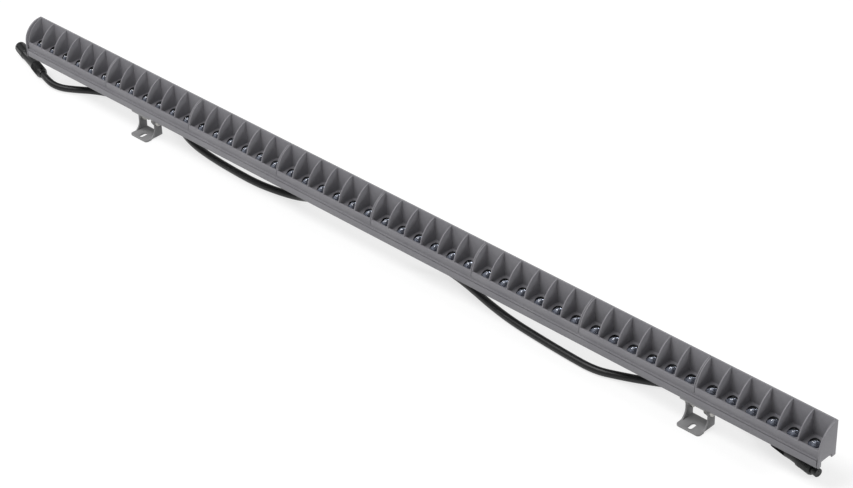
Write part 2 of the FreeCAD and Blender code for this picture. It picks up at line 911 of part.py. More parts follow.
def tube_path(points):
    """Straight runs through the points, joined by tangent arcs; also gives the radii."""
    edges = []
    radii = []
    last = points[0]
    for before, corner, after in zip(points, points[1:], points[2:]):
        inward = unit(before, corner)
        outward = unit(corner, after)
        turn = inward.getAngle(outward)
        cut = 0.45 * min((corner - before).Length, (after - corner).Length)
        radius = cut / math.tan(turn / 2)
        radii.append(radius)
        start = corner - inward * cut
        end = corner + outward * cut
        to_centre = (outward - inward).normalize()
        centre = corner + to_centre * (radius / math.cos(turn / 2))
        edges.append(Part.LineSegment(last, start).toShape())
        edges.append(Part.Arc(start, centre - to_centre * radius, end).toShape())
        last = end
    edges.append(Part.LineSegment(last, points[-1]).toShape())
    return Part.Wire(edges), radii


def lead(label, points):
    """A lead as a round tube along its route."""
    path, radii = tube_path(points)
    radius = s.lead_size.number / 2
    along = unit(points[0], points[1])
    spoke = Vector(0, 0, radius / math.cos(math.pi / LEAD_SIDES))
    turn = Rotation(along, 180 / LEAD_SIDES)
    corners = [points[0] + turn.multVec(spoke)]
    for _ in range(LEAD_SIDES):
        turn = Rotation(along, 360 / LEAD_SIDES) * turn
        corners.append(points[0] + turn.multVec(spoke))
    section = Part.Face(Part.makePolygon(corners))
    thing = doc.addObject("Part::Feature", label)
    thing.Shape = path.makePipe(section)
    thing.Label = label
    thing.Placement = Placement()
    nodes.append(thing)
    expected = section.Area * path.Length
    share = thing.Shape.Volume / expected
    print(f"{label}: length {path.Length:.1f}, volume / (section x length) {share:.4f}")
    print(f"{label}: radii " + " ".join(f"{value:.0f}" for value in radii))


def pin_outlines(body, place_x):
    """Draws the pins or their holes on a plane across the connector."""
    sketch = new_sketch(body, "pin_outlines", "YZ_Plane", place_x)
    for number in range(int(s.pin_count.number)):
        angle = math.radians(90 + 360 / s.pin_count.number * number)
        across = s.pin_circle / 2 * math.cos(angle)
        polygon(sketch, s.pin_size / 2, PIN_SIDES, across, s.pin_circle / 2 * math.sin(angle))
    return sketch


def pin_holes(body, face, depth):
    """Makes the holes for the pins or contacts in the front of a connector."""
    extrude(body, "Pocket", "pin_holes", pin_outlines(body, face), depth)


def pins(label, start, length, spot, yaw):
    """The pins or contacts of a connector."""
    body = new_body(label)
    extrude(body, "Pad", "pins", pin_outlines(body, start), length)
    place(body, spot[0], spot[1], s.connector_axis_height, yaw)


def bar(body, name, start, length, size, sides=0):
    """Adds a length of bar about the connector's axis, round unless it has sides."""
    sketch = new_sketch(body, name + "_outline", "YZ_Plane", start)
    if sides:
        polygon(sketch, size / 2, sides)
    else:
        round_hole(sketch, 0, 0, size)
    extrude(body, "Pad", name, sketch, length)


def grip(label, length, size, spot, yaw):
    """Starts a connector's body with its many-sided grip, tapered at the rear."""
    body = new_body(label)
    bar(body, "grip", s.connector_taper, length - s.connector_taper, size, GRIP_SIDES)
    rings = []
    for name, x, across in (("rear", 0, s.connector_rear), ("full", s.connector_taper, size)):
        outer = new_sketch(body, "taper_" + name, "YZ_Plane", x)
        polygon(outer, across / 2, GRIP_SIDES)
        rings.append(outer)
    ruled_loft(body, "taper", rings)
    place(body, spot[0], spot[1], s.connector_axis_height, yaw)
    return body


def hollow_ring(label, start, length, outer, inner, spot, yaw):
    """A many-sided ring round the connector's axis, with a round hole."""
    body = new_body(label)
    sketch = new_sketch(body, "ring_outline", "YZ_Plane", start)
    polygon(sketch, outer / 2, GRIP_SIDES)
    round_hole(sketch, 0, 0, inner)
    extrude(body, "Pad", "ring", sketch, length)
    place(body, spot[0], spot[1], s.connector_axis_height, yaw)
    return body


def plug(spot, yaw):
    """The plug at the end of the left lead, with its coupling nut."""
    shoulder = s.plug_body_length
    collar_x = shoulder + s.plug_collar_place
    face = shoulder + s.plug_core_length
    body = grip("plug_body", shoulder, s.connector_size, spot, yaw)
    bar(body, "core", shoulder, s.plug_core_length, s.plug_core_size)
    bar(body, "collar", collar_x, s.plug_collar_thick, s.plug_collar_size, GRIP_SIDES)
    pin_holes(body, face, s.pin_deep)
    pins("plug_pins", face - s.pin_deep, s.pin_length, spot, yaw)
    seal_x = collar_x + s.plug_collar_thick
    core = s.plug_core_size
    hollow_ring("plug_seal", seal_x, s.seal_size, core + s.seal_size, core, spot, yaw)
    nut_x = shoulder + s.running_fit
    throat = core + 2 * s.running_fit
    nut = hollow_ring(
        "coupling_nut", nut_x, s.coupling_length, s.coupling_size, throat, spot, yaw
    )
    bore = new_sketch(nut, "bore_outline", "YZ_Plane", nut_x + s.coupling_length)
    round_hole(bore, 0, 0, s.coupling_bore)
    extrude(nut, "Pocket", "bore", bore, s.coupling_length - s.coupling_shoulder)


def socket(spot, yaw):
    """The socket at the end of the right lead."""
    shoulder = s.socket_body_length
    face = shoulder + s.nose_length
    body = grip("socket_body", shoulder, s.coupling_size, spot, yaw)
    bar(body, "nose", shoulder, s.nose_length, s.nose_size)
    pin_holes(body, face, s.pin_deep)
    contact = s.pin_deep - s.contact_recess
    pins("socket_contacts", face - s.pin_deep, contact, spot, yaw)


# Routes of the two leads, from the boot to the connector, seen from above as (x, y), with
# a height where the lead isn't on the floor.
PLUG_REAR = (-484.4, -3.0)
PLUG_YAW = 162.0
SOCKET_REAR = (435.0, 19.2)
SOCKET_YAW = -11.8
BOOT_RUN = 16.0
CONNECTOR_RUN = 11.5

LEFT_ROUTE = [
    (-92.0, 7.4, 17.8),
    (-106.0, 13.6, 8.8),
    (-122.0, 13.4),
    (-142.0, 8.2),
    (-168.0, 4.6),
    (-199.0, 5.0),
    (-232.0, 6.8),
    (-263.0, 10.8),
    (-289.0, 18.6),
    (-312.0, 30.6),
    (-339.0, 36.2),
    (-368.0, 33.0),
    (-395.0, 25.0),
    (-420.0, 14.8),
    (-439.0, 2.0),
    (-451.0, -4.8),
    (-462.5, -7.6, 4.6),
]
RIGHT_ROUTE = [
    (57.0, 7.6, 17.6),
    (70.0, 15.2, 8.8),
    (85.5, 18.0),
    (108.0, 13.2),
    (135.0, 6.2),
    (167.0, 0.4),
    (200.0, -2.4),
    (234.0, -4.6),
    (266.0, -5.6),
    (287.0, 2.6),
    (307.0, 11.8),
    (325.0, 21.6),
    (346.0, 29.6),
    (372.0, 32.6),
    (398.0, 28.4),
    (412.0, 24.0, 4.4),
]


def route(boot_side, middle, rear, yaw):
    """A lead's points: straight out of the boot, the chosen points, straight into the
    connector's rear."""
    mouth = s.boots_middle + boot_side * boot_exit
    start = Vector(mouth.number, lamp_y.number, boot_axis_z.number)
    points = [start, start + Vector(boot_side * BOOT_RUN, 0, 0)]
    for point in middle:
        height = point[2] if len(point) == 3 else lead_z.number
        points.append(Vector(point[0], point[1], height))
    end = Vector(rear[0], rear[1], s.connector_axis_height.number)
    turn = math.radians(yaw)
    points.append(end - Vector(math.cos(turn), math.sin(turn), 0) * CONNECTOR_RUN)
    points.append(end)
    return points


def check_all():
    """Stops the build when any object or node has failed."""
    for thing in doc.Objects:
        if "Invalid" in thing.State or "Error" in thing.State:
            raise RuntimeError(f"{thing.Label} failed: {thing.State}")
        if thing.TypeId == "PartDesign::Pocket":
            before = thing.BaseFeature.Shape.Volume
            if thing.Shape.Volume > before - 0.001:
                raise RuntimeError(f"{thing.Label} of {thing.getParent().Label} cuts nothing")
    for node in nodes:
        if node.Shape.isNull() or not node.Shape.isValid():
            raise RuntimeError(f"{node.Label} has no valid shape")


def main():
    housing_extrusion()
    modules = int(s.module_count.number)
    wires = []
    for name, side in (("left", -1), ("right", 1)):
        end_cap("end_cap_" + name, side)
        cap_gasket("cap_gasket_" + name, side)
        flat_strip("thermal_pad_" + name, side, base_z, s.pad_thick, s.board_width)
        flat_strip("led_board_" + name, side, board_z, s.board_thick, s.board_width)
        cable_boot("cable_boot_" + name, side)
        wires.append(wire_cores(name, side))
    group("wire_cores", wires)
    group("visor_modules", [visor_module(number) for number in range(modules)])
    group("lens_strips", [lens_strip(number) for number in range(modules)])
    for name, first in (("left", 0), ("right", modules // 2)):
        led_chips("led_chips_" + name, first)
        driver_chips("driver_chips_" + name, first)
    board_jumper()
    places = (("left", foot_left_x), ("right", foot_right_x))
    for name, x in places:
        foot("foot_" + name, x)
        saddle("saddle_" + name, x)
    group("slide_nuts", [slide_nut(name, x) for name, x in places])
    group("clamp_screws", [clamp_screw(name, x) for name, x in places])
    group("pivot_screws", [pivot_screws(name, x) for name, x in places])
    group("pivot_nuts", [pivot_nuts(name, x) for name, x in places])
    lead("lead_left", route(-1, LEFT_ROUTE, PLUG_REAR, PLUG_YAW))
    lead("lead_right", route(1, RIGHT_ROUTE, SOCKET_REAR, SOCKET_YAW))
    plug(PLUG_REAR, PLUG_YAW)
    socket(SOCKET_REAR, SOCKET_YAW)
    doc.recompute()
    check_all()
    os.makedirs("parts", exist_ok=True)
    for node in nodes:
        node.Shape.exportStep(f"parts/{node.Label}.step")
    print(f"{len(nodes)} nodes")


main()
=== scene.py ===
import json
import math

import bpy
from mathutils import Matrix, Vector

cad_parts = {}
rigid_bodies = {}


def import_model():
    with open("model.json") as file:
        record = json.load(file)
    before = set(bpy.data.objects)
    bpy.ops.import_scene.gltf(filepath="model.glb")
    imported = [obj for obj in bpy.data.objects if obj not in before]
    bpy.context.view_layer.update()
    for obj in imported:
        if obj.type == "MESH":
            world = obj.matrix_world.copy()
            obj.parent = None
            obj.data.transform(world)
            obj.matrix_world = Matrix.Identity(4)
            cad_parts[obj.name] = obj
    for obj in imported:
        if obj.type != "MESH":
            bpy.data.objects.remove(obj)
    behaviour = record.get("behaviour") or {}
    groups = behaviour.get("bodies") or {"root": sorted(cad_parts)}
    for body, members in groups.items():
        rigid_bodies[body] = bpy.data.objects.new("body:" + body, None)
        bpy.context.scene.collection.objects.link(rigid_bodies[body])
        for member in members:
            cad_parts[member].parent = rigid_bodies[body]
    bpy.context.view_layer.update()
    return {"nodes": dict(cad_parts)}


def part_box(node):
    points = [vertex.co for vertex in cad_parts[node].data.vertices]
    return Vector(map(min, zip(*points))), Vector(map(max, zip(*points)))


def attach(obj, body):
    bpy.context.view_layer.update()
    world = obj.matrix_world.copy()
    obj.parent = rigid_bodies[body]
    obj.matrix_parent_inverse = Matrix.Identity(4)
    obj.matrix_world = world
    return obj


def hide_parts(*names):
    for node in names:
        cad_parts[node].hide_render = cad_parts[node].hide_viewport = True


bl_info = {
    "name": "Outdoor wall washer light",
    "version": (1, 0, 0),
    "blender": (4, 5, 0),
    "location": "View3D > Sidebar > Wall washer",
    "description": "Models and finishes the pieces of a one-metre outdoor wall washer light",
    "category": "Object",
}

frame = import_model()
MM = 0.001
BEYOND = 5 * MM
MERGE_DISTANCE = 0.002 * MM
ALONG_X = (0.0, math.pi / 2, 0.0)


def size(name, description, millimetres):
    """A length that the user can change."""
    return bpy.props.FloatProperty(
        name=name,
        description=description,
        default=millimetres * MM,
        min=0.0,
        precision=5,
        subtype="DISTANCE",
        unit="LENGTH",
    )


def count(name, description, number):
    """A whole number that the user can change."""
    return bpy.props.IntProperty(name=name, description=description, default=number, min=1)


def linear(hex_colour):
    """Turns an sRGB hex value into a linear colour."""
    channels = [int(hex_colour[i : i + 2], 16) / 255 for i in (1, 3, 5)]
    return tuple(c / 12.92 if c <= 0.04045 else ((c + 0.055) / 1.055) ** 2.4 for c in channels)


def colour(name, description, hex_colour):
    """A colour that the user can change."""
    return bpy.props.FloatVectorProperty(
        name=name,
        description=description,
        default=linear(hex_colour),
        min=0.0,
        max=1.0,
        size=3,
        subtype="COLOR",
    )


class LightSizes(bpy.types.PropertyGroup):
    """Sizes of the light's body, visors and lenses."""

    module_count: count("Modules", "Visor modules in a row", 8)
    cell_count: count("Cells", "Cells in a visor module", 6)
    module_gap: size("Module gap", "Gap between two visor modules", 0.4)
    fin: size("Fin", "Thickness of a fin between two cells", 1.1)
    wall: size("Visor wall", "Thickness of the visor's back wall", 1.5)
    front_wall: size("Front wall", "Thickness of the visor's front wall at its foot", 2.0)
    ledge: size("Ledge", "Depth of the ledge on the housing in front of the visors", 1.6)
    ledge_drop: size("Ledge drop", "Height of the seam above the ledge", 1.6)
    line_drop: size("Line drop", "Height of the seam above the skirt's dark line", 2.9)
    line_width: size("Line width", "Width of the skirt's dark line", 0.6)
    line_deep: size("Line depth", "Depth of the skirt's dark line", 0.9)
    visor_radius: size("Visor radius", "Radius of a fin's curved edge", 26.2)
    visor_centre: size("Curve centre", "Distance of the fin curve's centre below the top", 25.4)
    lip: size("Lip height", "Height of the front lip above the floor's underside", 3.5)
    floor: size("Cell floor", "Thickness of the floor round the domes", 0.5)
    floor_place: size("Floor place", "Height of the floor's underside above the visor's foot", 2.2)
    dome_hole: size("Dome hole", "Diameter of the hole round a dome", 11.4)
    dome: size("Dome", "Diameter of a lens dome", 10.8)
    dome_height: size("Dome height", "Height of a lens dome above its strip", 5.2)
    lens_plate: size("Lens plate", "Thickness of the clear strip under the domes", 1.2)
    lens_leg: size("Lens leg", "Thickness of the clear strip's two legs", 1.2)
    lens_leg_out: size("Leg place", "Distance of a leg's outer face from the middle", 7.5)
    visor_edge: size("Visor edge", "Rounding of the visor's cast edges", 0.22)
    profile_edge: size("Profile edge", "Rounding of the extrusion's edges", 0.15)
    cap_edge: size("Cap edge", "Rounding of an end cap's edges", 0.35)


class FittingSizes(bpy.types.PropertyGroup):
    """Sizes of the feet, screws and cable boots."""

    sheet_edge: size("Sheet edge", "Rounding of the bent sheets' edges", 0.2)
    screw: size("Screw", "Diameter of a pivot screw", 4.0)
    screw_head: size("Screw head", "Diameter of a screw's head", 7.6)
    screw_head_height: size("Head height", "Height of a screw's head", 2.4)
    hex_key: size("Hex key", "Width of the recess in a screw's head", 2.5)
    hex_key_deep: size("Hex key depth", "Depth of the recess in a screw's head", 1.4)
    nut_across: size("Nut", "Width of a pivot nut across its flats", 7.0)
    boot_edge: size("Boot edge", "Rounding of a cable boot's block", 0.5)


class LeadSizes(bpy.types.PropertyGroup):
    """Sizes of the leads and their connectors."""

    lead: size("Lead", "Diameter of a lead", 7.2)
    left_length: size("Left lead", "Length of the left lead", 444.3)
    right_length: size("Right lead", "Length of the right lead", 425.7)
    connector: size("Connector", "Diameter of a connector's grip", 11.6)
    waist: size("Waist", "Diameter of the plug between its grip and its nut", 10.9)
    coupling: size("Coupling nut", "Diameter of the coupling nut over its ribs", 12.2)
    groove: size("Rib depth", "Depth of the grooves between the ribs", 0.35)
    axis_height: size("Connector height", "Height of a connector's axis above the floor", 6.15)


class LightColours(bpy.types.PropertyGroup):
    """Colours of the finishes."""

    coat: colour("Coat", "Grey powder coat on the housing and visors", "#87868A")
    coat_dark: colour("Coat, dark", "Darker tone in the powder coat", "#7C7B80")
    bracket: colour("Bracket", "Grey powder coat on the steel feet", "#8F8F90")
    lens: colour("Lens", "Tint of the clear lenses", "#C3CBDC")
    cable: colour("Cable", "Rubber jacket of the leads", "#0A0B0E")
    connector: colour("Connector", "Moulded nylon of the connectors", "#0B0C0F")
    steel: colour("Steel", "Stainless steel of the screws and nuts", "#B4B3B0")
    board: colour("Board", "Solder mask of the boards", "#23262B")


# Selecting and shaping


def settings():
    """The scene's property groups."""
    return bpy.context.scene


def only(obj):
    """Selects one object, and makes it the active one."""
    for other in bpy.context.view_layer.objects:
        other.select_set(False)
    obj.select_set(True)
    bpy.context.view_layer.objects.active = obj


def place_in_mesh(obj):
    """Moves an object's place, turn and scale into its mesh."""
    only(obj)
    bpy.ops.object.transform_apply(location=True, rotation=True, scale=True)
    return obj


def edit(obj):
    """Opens an object's mesh in edit mode with everything selected."""
    only(obj)
    bpy.ops.object.mode_set(mode="EDIT")
    bpy.ops.mesh.select_all(action="SELECT")


def leave_edit():
    """Goes back to object mode."""
    bpy.ops.object.mode_set(mode="OBJECT")


def cuboid(low, high):
    """A cube stretched between two corners."""
    low, high = Vector(low), Vector(high)
    bpy.ops.object.select_all(action="DESELECT")
    bpy.ops.mesh.primitive_cube_add(size=1.0, location=(low + high) / 2)
    obj = bpy.context.active_object
    obj.scale = high - low
    return place_in_mesh(obj)


def rod(centre, radius, depth, sides, turn=(0.0, 0.0, 0.0)):
    """A cylinder or prism round a centre."""
    bpy.ops.object.select_all(action="DESELECT")
    bpy.ops.mesh.primitive_cylinder_add(
        vertices=sides, radius=radius, depth=depth, location=centre, rotation=turn
    )
    return place_in_mesh(bpy.context.active_object)


def apply_modifier(obj, kind, **values):
    """Adds a modifier and applies it."""
    modifier = obj.modifiers.new(kind.title(), kind)
    for name, value in values.items():
        setattr(modifier, name, value)
    only(obj)
    bpy.ops.object.modifier_apply(modifier=modifier.name)


def repeat(obj, number, pitch):
    """Repeats a mesh along the light."""
    apply_modifier(
        obj,
        "ARRAY",
        count=number,
        use_relative_offset=False,
        use_constant_offset=True,
        constant_offset_displace=(pitch, 0.0, 0.0),
    )


def combine(obj, other, operation="DIFFERENCE"):
    """Cuts another mesh out of obj, or joins it to obj as one solid."""
    apply_modifier(obj, "BOOLEAN", object=other, operation=operation, solver="EXACT")
    bpy.data.objects.remove(other)


def soften(obj, width, segments=2, angle=35.0):
    """Rounds an object's sharp edges and shades it smooth."""
    apply_modifier(
        obj,
        "BEVEL",
        width=width,
        segments=segments,
        limit_method="ANGLE",
        angle_limit=math.radians(angle),
        use_clamp_overlap=True,
    )
    shade(obj, angle)


def shade(obj, angle=35.0):
    """Shades an object smooth, apart from its sharp edges."""
    only(obj)
    bpy.ops.object.shade_smooth_by_angle(angle=math.radians(angle))


def face_outwards(obj):
    """Merges doubled points and turns every face outwards."""
    edit(obj)
    bpy.ops.mesh.remove_doubles(threshold=MERGE_DISTANCE)
    bpy.ops.mesh.select_all(action="SELECT")
    bpy.ops.mesh.normals_make_consistent(inside=False)
    leave_edit()


def turned(stations, sides, ring=False):
    """A piece turned about X through (x, radius) stations; a ring comes back to its start."""
    start, radius = stations[0]
    bpy.ops.object.select_all(action="DESELECT")
    bpy.ops.mesh.primitive_circle_add(
        vertices=sides,
        radius=radius,
        fill_type="NOTHING",
        location=(start, 0.0, 0.0),
        rotation=ALONG_X,
    )
    obj = place_in_mesh(bpy.context.active_object)
    edit(obj)
    bpy.ops.mesh.select_mode(type="VERT")
    last, last_radius = start, radius
    for x, radius in stations[1:]:
        bpy.ops.mesh.extrude_region_move(TRANSFORM_OT_translate={"value": (x - last, 0.0, 0.0)})
        share = radius / last_radius
        bpy.ops.transform.resize(value=(1.0, share, share), center_override=(x, 0.0, 0.0))
        last, last_radius = x, radius
    if not ring:
        bpy.ops.mesh.select_all(action="DESELECT")
        bpy.ops.mesh.select_non_manifold(extend=False, use_boundary=True)
        bpy.ops.mesh.fill_holes(sides=0)
    leave_edit()
    face_outwards(obj)
    return obj


def rib(obj, low, high, depth, share=0.2, every=2):
    """Sinks every second face round a turned piece between two places, which leaves ribs."""
    mesh = obj.data
    only(obj)
    for part in (mesh.vertices, mesh.edges, mesh.polygons):
        part.foreach_set("select", [False] * len(part))
    around = []
    for face in mesh.polygons:
        if low < face.center.x < high and abs(face.normal.x) < 0.1:
            around.append((math.atan2(face.center.z, face.center.y), face))
    around.sort(key=lambda pair: pair[0])
    for number, (_, face) in enumerate(around):
        face.select = number % every == 0
    width = min((edge_length(mesh, face) for _, face in around), default=0.0)
    bpy.ops.object.mode_set(mode="EDIT")
    bpy.ops.mesh.select_mode(type="FACE")
    bpy.ops.mesh.inset(thickness=width * share, depth=-depth, use_individual=True)
    leave_edit()


def edge_length(mesh, face):
    """The shortest side of a face."""
    points = [mesh.vertices[index].co for index in face.vertices]
    return min((a - b).length for a, b in zip(points, points[1:] + points[:1]))


def clean_copy(node):
    """A merged copy of a CAD node's mesh with its flat faces joined up."""
    obj = bpy.data.objects.new(node + "_shape", frame["nodes"][node].data.copy())
    bpy.context.scene.collection.objects.link(obj)
    obj.data.materials.clear()
    edit(obj)
    bpy.ops.mesh.remove_doubles(threshold=MERGE_DISTANCE)
    bpy.ops.mesh.select_all(action="SELECT")
    bpy.ops.mesh.dissolve_limited(angle_limit=math.radians(1.0))
    leave_edit()
    return obj


def finish_piece(obj, name, body, slot, material, *nodes):
    """Names a piece, gives it its finish and ties it to its body and CAD nodes."""
    obj.name = name
    obj.data.name = name
    obj.data.materials.clear()
    obj.data.materials.append(material)
    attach(obj, body)
    if nodes:
        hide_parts(*nodes)
    return obj


def copy_along(obj, offset):
    """A copy with its own mesh, moved along the light."""
    other = bpy.data.objects.new(obj.name, obj.data.copy())
    other.data.transform(Matrix.Translation((offset, 0.0, 0.0)))
    bpy.context.scene.collection.objects.link(other)
    return other


# Finishes


def new_material(name, base, roughness, **values):
    """A material with one Principled shader."""
    material = bpy.data.materials.new(name)
    material.use_nodes = True
    shader = material.node_tree.nodes["Principled BSDF"]
    shader.inputs["Base Color"].default_value = (*base, 1.0)
    shader.inputs["Roughness"].default_value = roughness
    for socket, value in values.items():
        shader.inputs[socket.replace("_", " ")].default_value = value
    return material, material.node_tree, shader


def add_node(tree, kind, links=None, values=None, **options):
    """Adds a node with its options, socket values and links from (node, output) pairs."""
    node = tree.nodes.new(kind)
    for name, value in options.items():
        setattr(node, name, value)
    for socket, value in (values or {}).items():
        node.inputs[socket].default_value = value
    for socket, (source, output) in (links or {}).items():
        tree.links.new(source.outputs[output], node.inputs[socket])
    return node


def grain(material, tree, shader, tone, dark, grain_mm, depth_mm, patch_mm=30.0, spread=0.6):
    """Colour that drifts between two tones, and a fine relief, both from object coordinates."""
    place = add_node(tree, "ShaderNodeTexCoord")
    patches = add_node(
        tree,
        "ShaderNodeTexNoise",
        {"Vector": (place, "Object")},
        {"Scale": 1 / (patch_mm * MM), "Detail": 4.0, "Roughness": 0.6},
    )
    specks = add_node(
        tree,
        "ShaderNodeTexNoise",
        {"Vector": (place, "Object")},
        {"Scale": 1 / (grain_mm * MM), "Detail": 3.0, "Roughness": 0.55},
    )
    blend = add_node(
        tree,
        "ShaderNodeMath",
        {0: (patches, "Fac"), 1: (specks, "Fac")},
        operation="MULTIPLY",
    )
    spread_out = add_node(
        tree,
        "ShaderNodeMapRange",
        {"Value": (blend, "Value")},
        {"From Min": 0.25 - 0.25 * spread, "From Max": 0.25 + 0.25 * spread},
    )
    mix = add_node(
        tree,
        "ShaderNodeMix",
        {"Factor": (spread_out, "Result")},
        data_type="RGBA",
    )
    mix.inputs["A"].default_value = (*dark, 1.0)
    mix.inputs["B"].default_value = (*tone, 1.0)
    tree.links.new(mix.outputs["Result"], shader.inputs["Base Color"])
    bump = add_node(
        tree,
        "ShaderNodeBump",
        {"Height": (specks, "Fac")},
        {"Strength": 0.6, "Distance": depth_mm * MM},
    )
    tree.links.new(bump.outputs["Normal"], shader.inputs["Normal"])
    return material


def darker(base, share):
    """A colour times a share."""
    return tuple(channel * share for channel in base)


def powder_coat(name, base, dark):
    """Polyester powder coat, sprayed and baked: satin, with a fine orange peel.

    The peel is about 0.5 mm across on the real coat and is drawn at 0.9 mm, so that it
    shows in the render.
    """
    made = new_material(name, base, 0.5, Specular_IOR_Level=0.45)
    return grain(*made, base, dark, grain_mm=0.9, depth_mm=0.03)


def clear_pmma(name, tint):
    """Injection-moulded acrylic: clear, glossy, and slightly blue in its thickness."""
    material, tree, shader = new_material(
        name, tint, 0.03, IOR=1.49, Transmission_Weight=1.0, Specular_IOR_Level=0.5
    )
    place = add_node(tree, "ShaderNodeTexCoord")
    flow = add_node(
        tree,
        "ShaderNodeTexNoise",
        {"Vector": (place, "Object")},
        {"Scale": 1 / (4.0 * MM), "Detail": 1.0},
    )
    bump = add_node(
        tree,
        "ShaderNodeBump",
        {"Height": (flow, "Fac")},
        {"Strength": 0.15, "Distance": 0.05 * MM},
    )
    tree.links.new(bump.outputs["Normal"], shader.inputs["Normal"])
    return material


def extruded_rubber(name, base):
    """Extruded rubber jacket: soft sheen, with faint talc and drag marks."""
    made = new_material(name, base, 0.42, Specular_IOR_Level=0.5)
    return grain(*made, base, darker(base, 0.72), grain_mm=0.7, depth_mm=0.04, patch_mm=18.0)


def moulded_nylon(name, base):
    """Glass-filled nylon, spark-textured in the mould: dark and slightly rough."""
    made = new_material(name, base, 0.38, Specular_IOR_Level=0.5)
    return grain(*made, base, darker(base, 0.7), grain_mm=0.5, depth_mm=0.04, patch_mm=10.0)


def stainless_steel(name, base):
    """Cold-headed stainless steel: metal with fine turning marks."""
    made = new_material(name, base, 0.32, Metallic=1.0)
    return grain(*made, base, darker(base, 0.85), grain_mm=0.4, depth_mm=0.01, patch_mm=6.0)


def plain_moulding(name, base, roughness=0.5, metallic=0.0, grain_mm=0.6):
    """A small moulded or plated piece inside the light, with a fine grain."""
    made = new_material(name, base, roughness, Metallic=metallic)
    return grain(*made, base, darker(base, 0.88), grain_mm=grain_mm, depth_mm=0.02, patch_mm=8.0)


FINISHES = {}


def make_finishes():
    """Makes every finish once, under the name of its material slot."""
    tones = settings().light_colours
    coat, coat_dark = tuple(tones.coat), tuple(tones.coat_dark)
    bracket = tuple(tones.bracket)
    FINISHES.update(
        powder_coat_grey=powder_coat("aluminium_powder_coat", coat, coat_dark),
        visor_grey=powder_coat("visor_powder_coat", coat, coat_dark),
        bracket_grey=powder_coat("steel_powder_coat", bracket, darker(bracket, 0.9)),
        lens_clear=clear_pmma("clear_acrylic", tuple(tones.lens)),
        lead_black=extruded_rubber("rubber_jacket", tuple(tones.cable)),
        boot_black=extruded_rubber("moulded_rubber", darker(tones.cable, 0.9)),
        connector_black=moulded_nylon("moulded_nylon", tuple(tones.connector)),
        nut_black=moulded_nylon("ribbed_nylon", darker(tones.connector, 0.9)),
        steel=stainless_steel("stainless_steel", tuple(tones.steel)),
        board_dark=plain_moulding("solder_mask", tuple(tones.board), 0.4),
        led_clear=plain_moulding("led_silicone", linear("#A9A48E"), 0.25),
        driver_black=plain_moulding("epoxy_package", linear("#1E1F22"), 0.55),
        gasket_rubber=plain_moulding("silicone_gasket", linear("#202124"), 0.7),
        thermal_pad=plain_moulding("silicone_gap_pad", linear("#8C939B"), 0.8),
        core_insulation=plain_moulding("wire_insulation", linear("#A8322A"), 0.45),
        pin_brass=plain_moulding("gilt_brass", linear("#D9B25F"), 0.28, 1.0),
    )


# Places read from the frame, in metres

VISOR_LOW, VISOR_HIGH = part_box("visor_modules")
LENS_LOW, LENS_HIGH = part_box("lens_strips")
SCREW_LOW, SCREW_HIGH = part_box("pivot_screws")
FEET = ("left", "right")
FOOT_X = {side: sum(corner.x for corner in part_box("foot_" + side)) / 2 for side in FEET}
PIVOT_Z = (SCREW_LOW.z + SCREW_HIGH.z) / 2
MIDDLE_Y = (VISOR_LOW.y + VISOR_HIGH.y) / 2


def module_pitch(sizes):
    """Distance from one visor module to the next."""
    return (VISOR_HIGH.x - VISOR_LOW.x + sizes.module_gap) / sizes.module_count


def cell_sizes(sizes):
    """Length of a cell, and distance from one cell to the next."""
    length = module_pitch(sizes) - sizes.module_gap
    cell = (length - sizes.fin * (sizes.cell_count + 1)) / sizes.cell_count
    return cell, cell + sizes.fin


